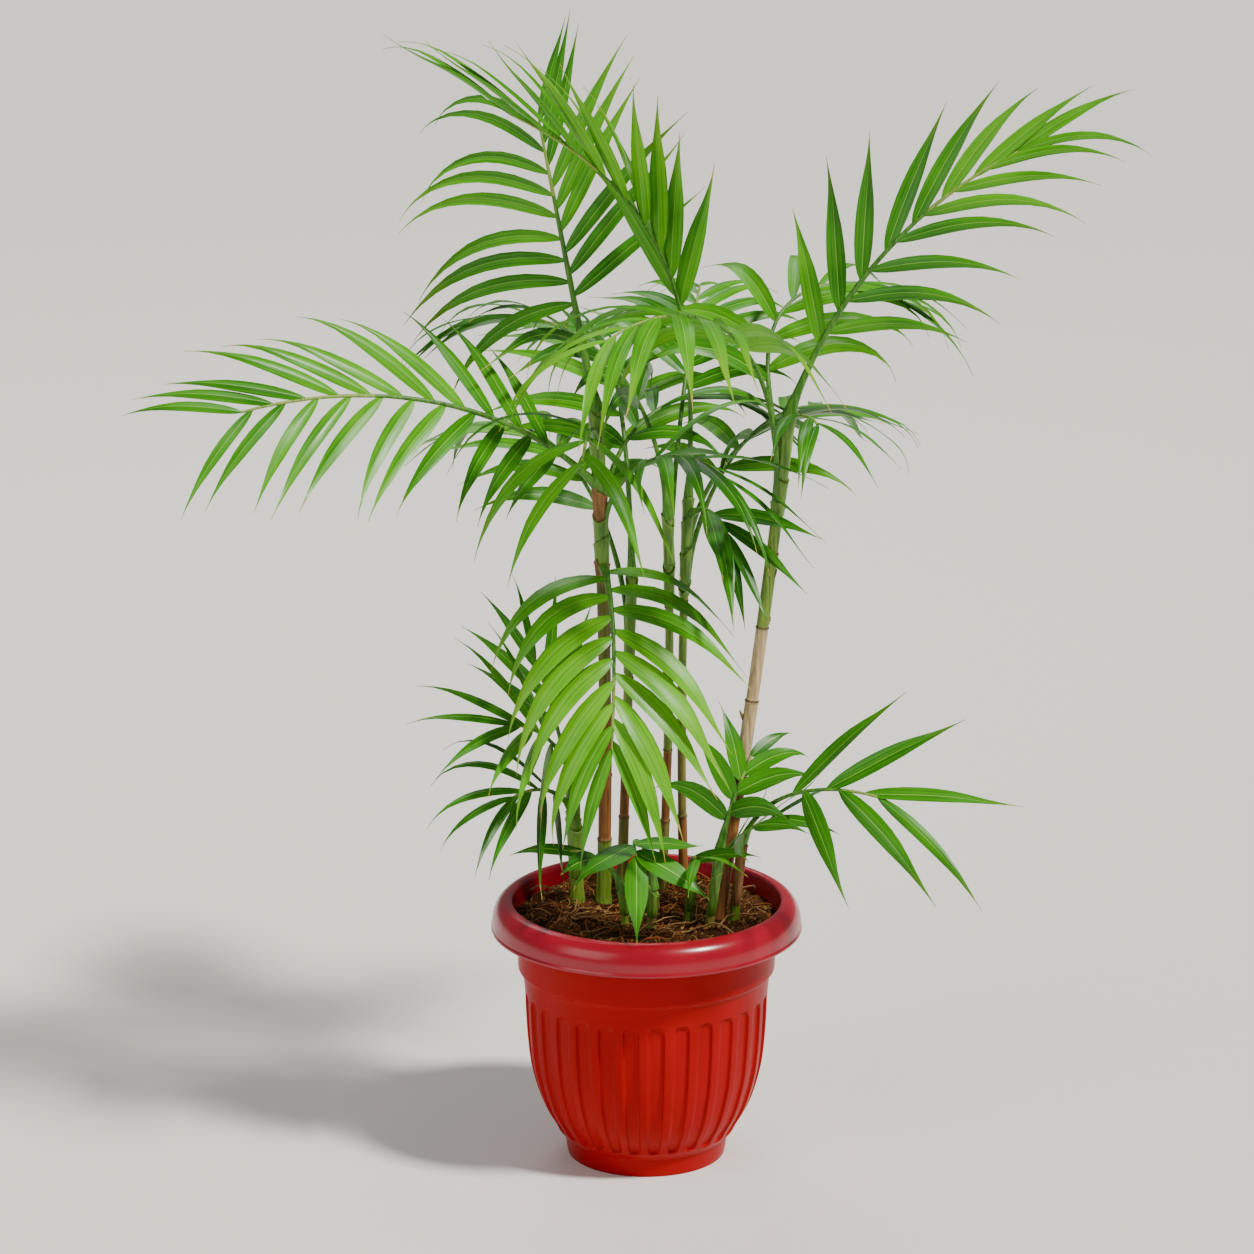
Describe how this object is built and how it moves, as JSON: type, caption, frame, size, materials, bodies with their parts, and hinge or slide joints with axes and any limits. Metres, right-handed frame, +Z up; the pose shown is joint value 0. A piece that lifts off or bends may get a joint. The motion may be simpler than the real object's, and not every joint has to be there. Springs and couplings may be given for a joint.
{
  "type": "potted clustering palm",
  "caption": "Clustering palm with ringed bamboo-like canes and arching feather fronds, growing from soil in a round fluted plastic planter with a rolled rim.",
  "frame": {"origin": "centre of the planter's flat underside, on the surface it stands on", "axes": "+Z up along the planter's axis and the canes, +X to the right of the plant's front, +Y to its back"},
  "size_m": [0.9558, 0.7366, 1.1218],
  "materials": {
    "pot": "satin",
    "soil": "matte",
    "cane": "satin",
    "frond": "satin"
  },
  "bodies": {
    "root": {"cane_left": "cane", "cane_main": "cane", "cane_middle_left": "cane", "cane_middle_right": "cane", "cane_rear": "cane", "cane_right": "cane", "cane_shoot": "cane", "cane_side": "cane", "cane_sprout_front": "cane", "cane_sprout_left": "cane", "cane_sprout_right": "cane", "frond_arch_left": "frond", "frond_arch_right": "frond", "frond_centre": "frond", "frond_crest": "frond", "frond_drape": "frond", "frond_fan": "frond", "frond_foot_right": "frond", "frond_front": "frond", "frond_hook": "frond", "frond_inner": "frond", "frond_leader": "frond", "frond_left": "frond", "frond_left_foot": "frond", "frond_left_rise": "frond", "frond_low_left": "frond", "frond_low_right": "frond", "frond_rear": "frond", "frond_rear_left": "frond", "frond_rear_right": "frond", "frond_rear_top": "frond", "frond_right": "frond", "frond_shoot": "frond", "frond_sprout_front": "frond", "frond_sprout_left": "frond", "frond_sprout_right": "frond", "frond_veil": "frond", "pot": "pot", "soil": "soil"}
  },
  "joints": []
}
